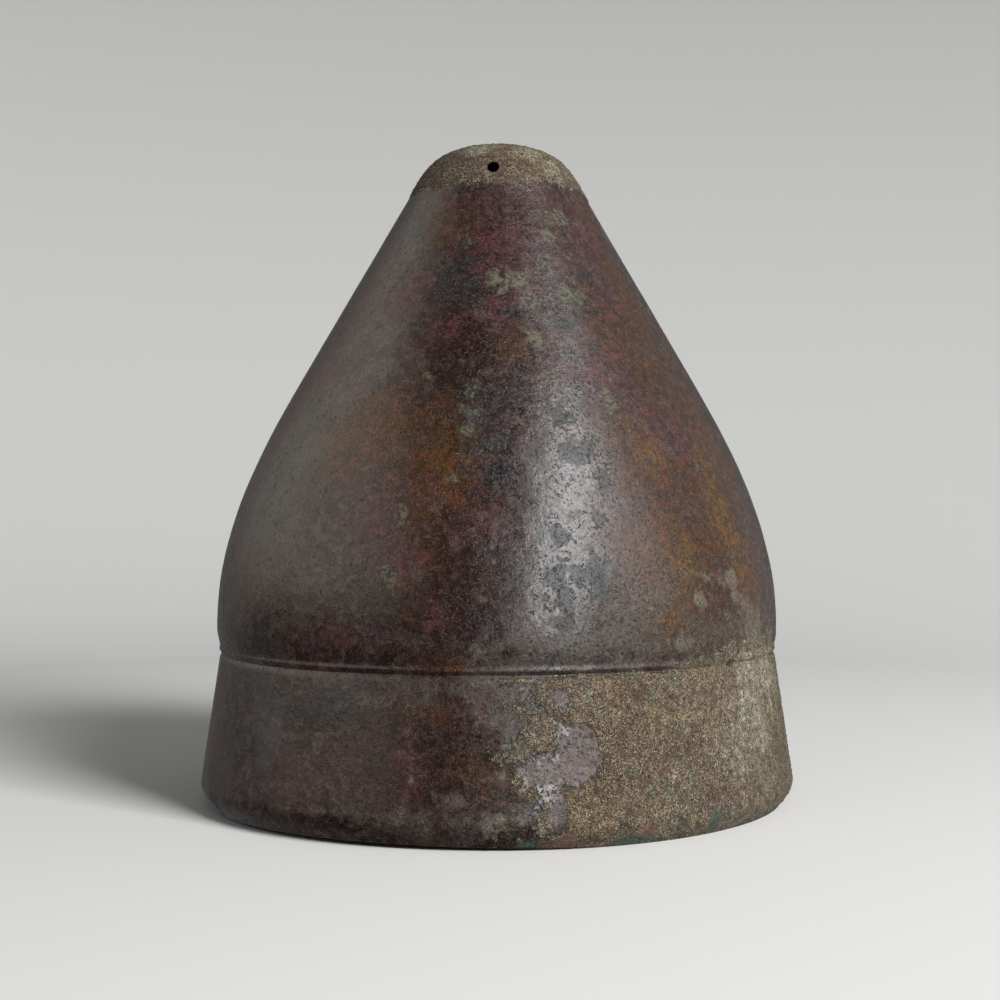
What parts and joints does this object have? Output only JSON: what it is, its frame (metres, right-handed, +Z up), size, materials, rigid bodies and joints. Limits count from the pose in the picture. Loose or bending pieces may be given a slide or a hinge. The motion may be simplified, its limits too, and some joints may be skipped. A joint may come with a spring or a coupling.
{
  "type": "pilos helmet",
  "caption": "Tall conical bronze helmet with a blunt pierced apex, a round shoulder over a thin groove, a flared rim band and an open hollow for a head.",
  "frame": {"origin": "on the ground that the rim rests on, under the middle of the helmet", "axes": "+Z up through the apex; -Y out of the brow, the side with the small hole in the apex; +X towards the wearer's left"},
  "size_m": [0.2292, 0.2346, 0.254],
  "materials": {
    "bronze": "aged bronze with a polished dark brown patina and a rough sandy corrosion crust on the apex and the rim band"
  },
  "bodies": {
    "root": {"helmet_shell": "bronze"}
  },
  "joints": []
}
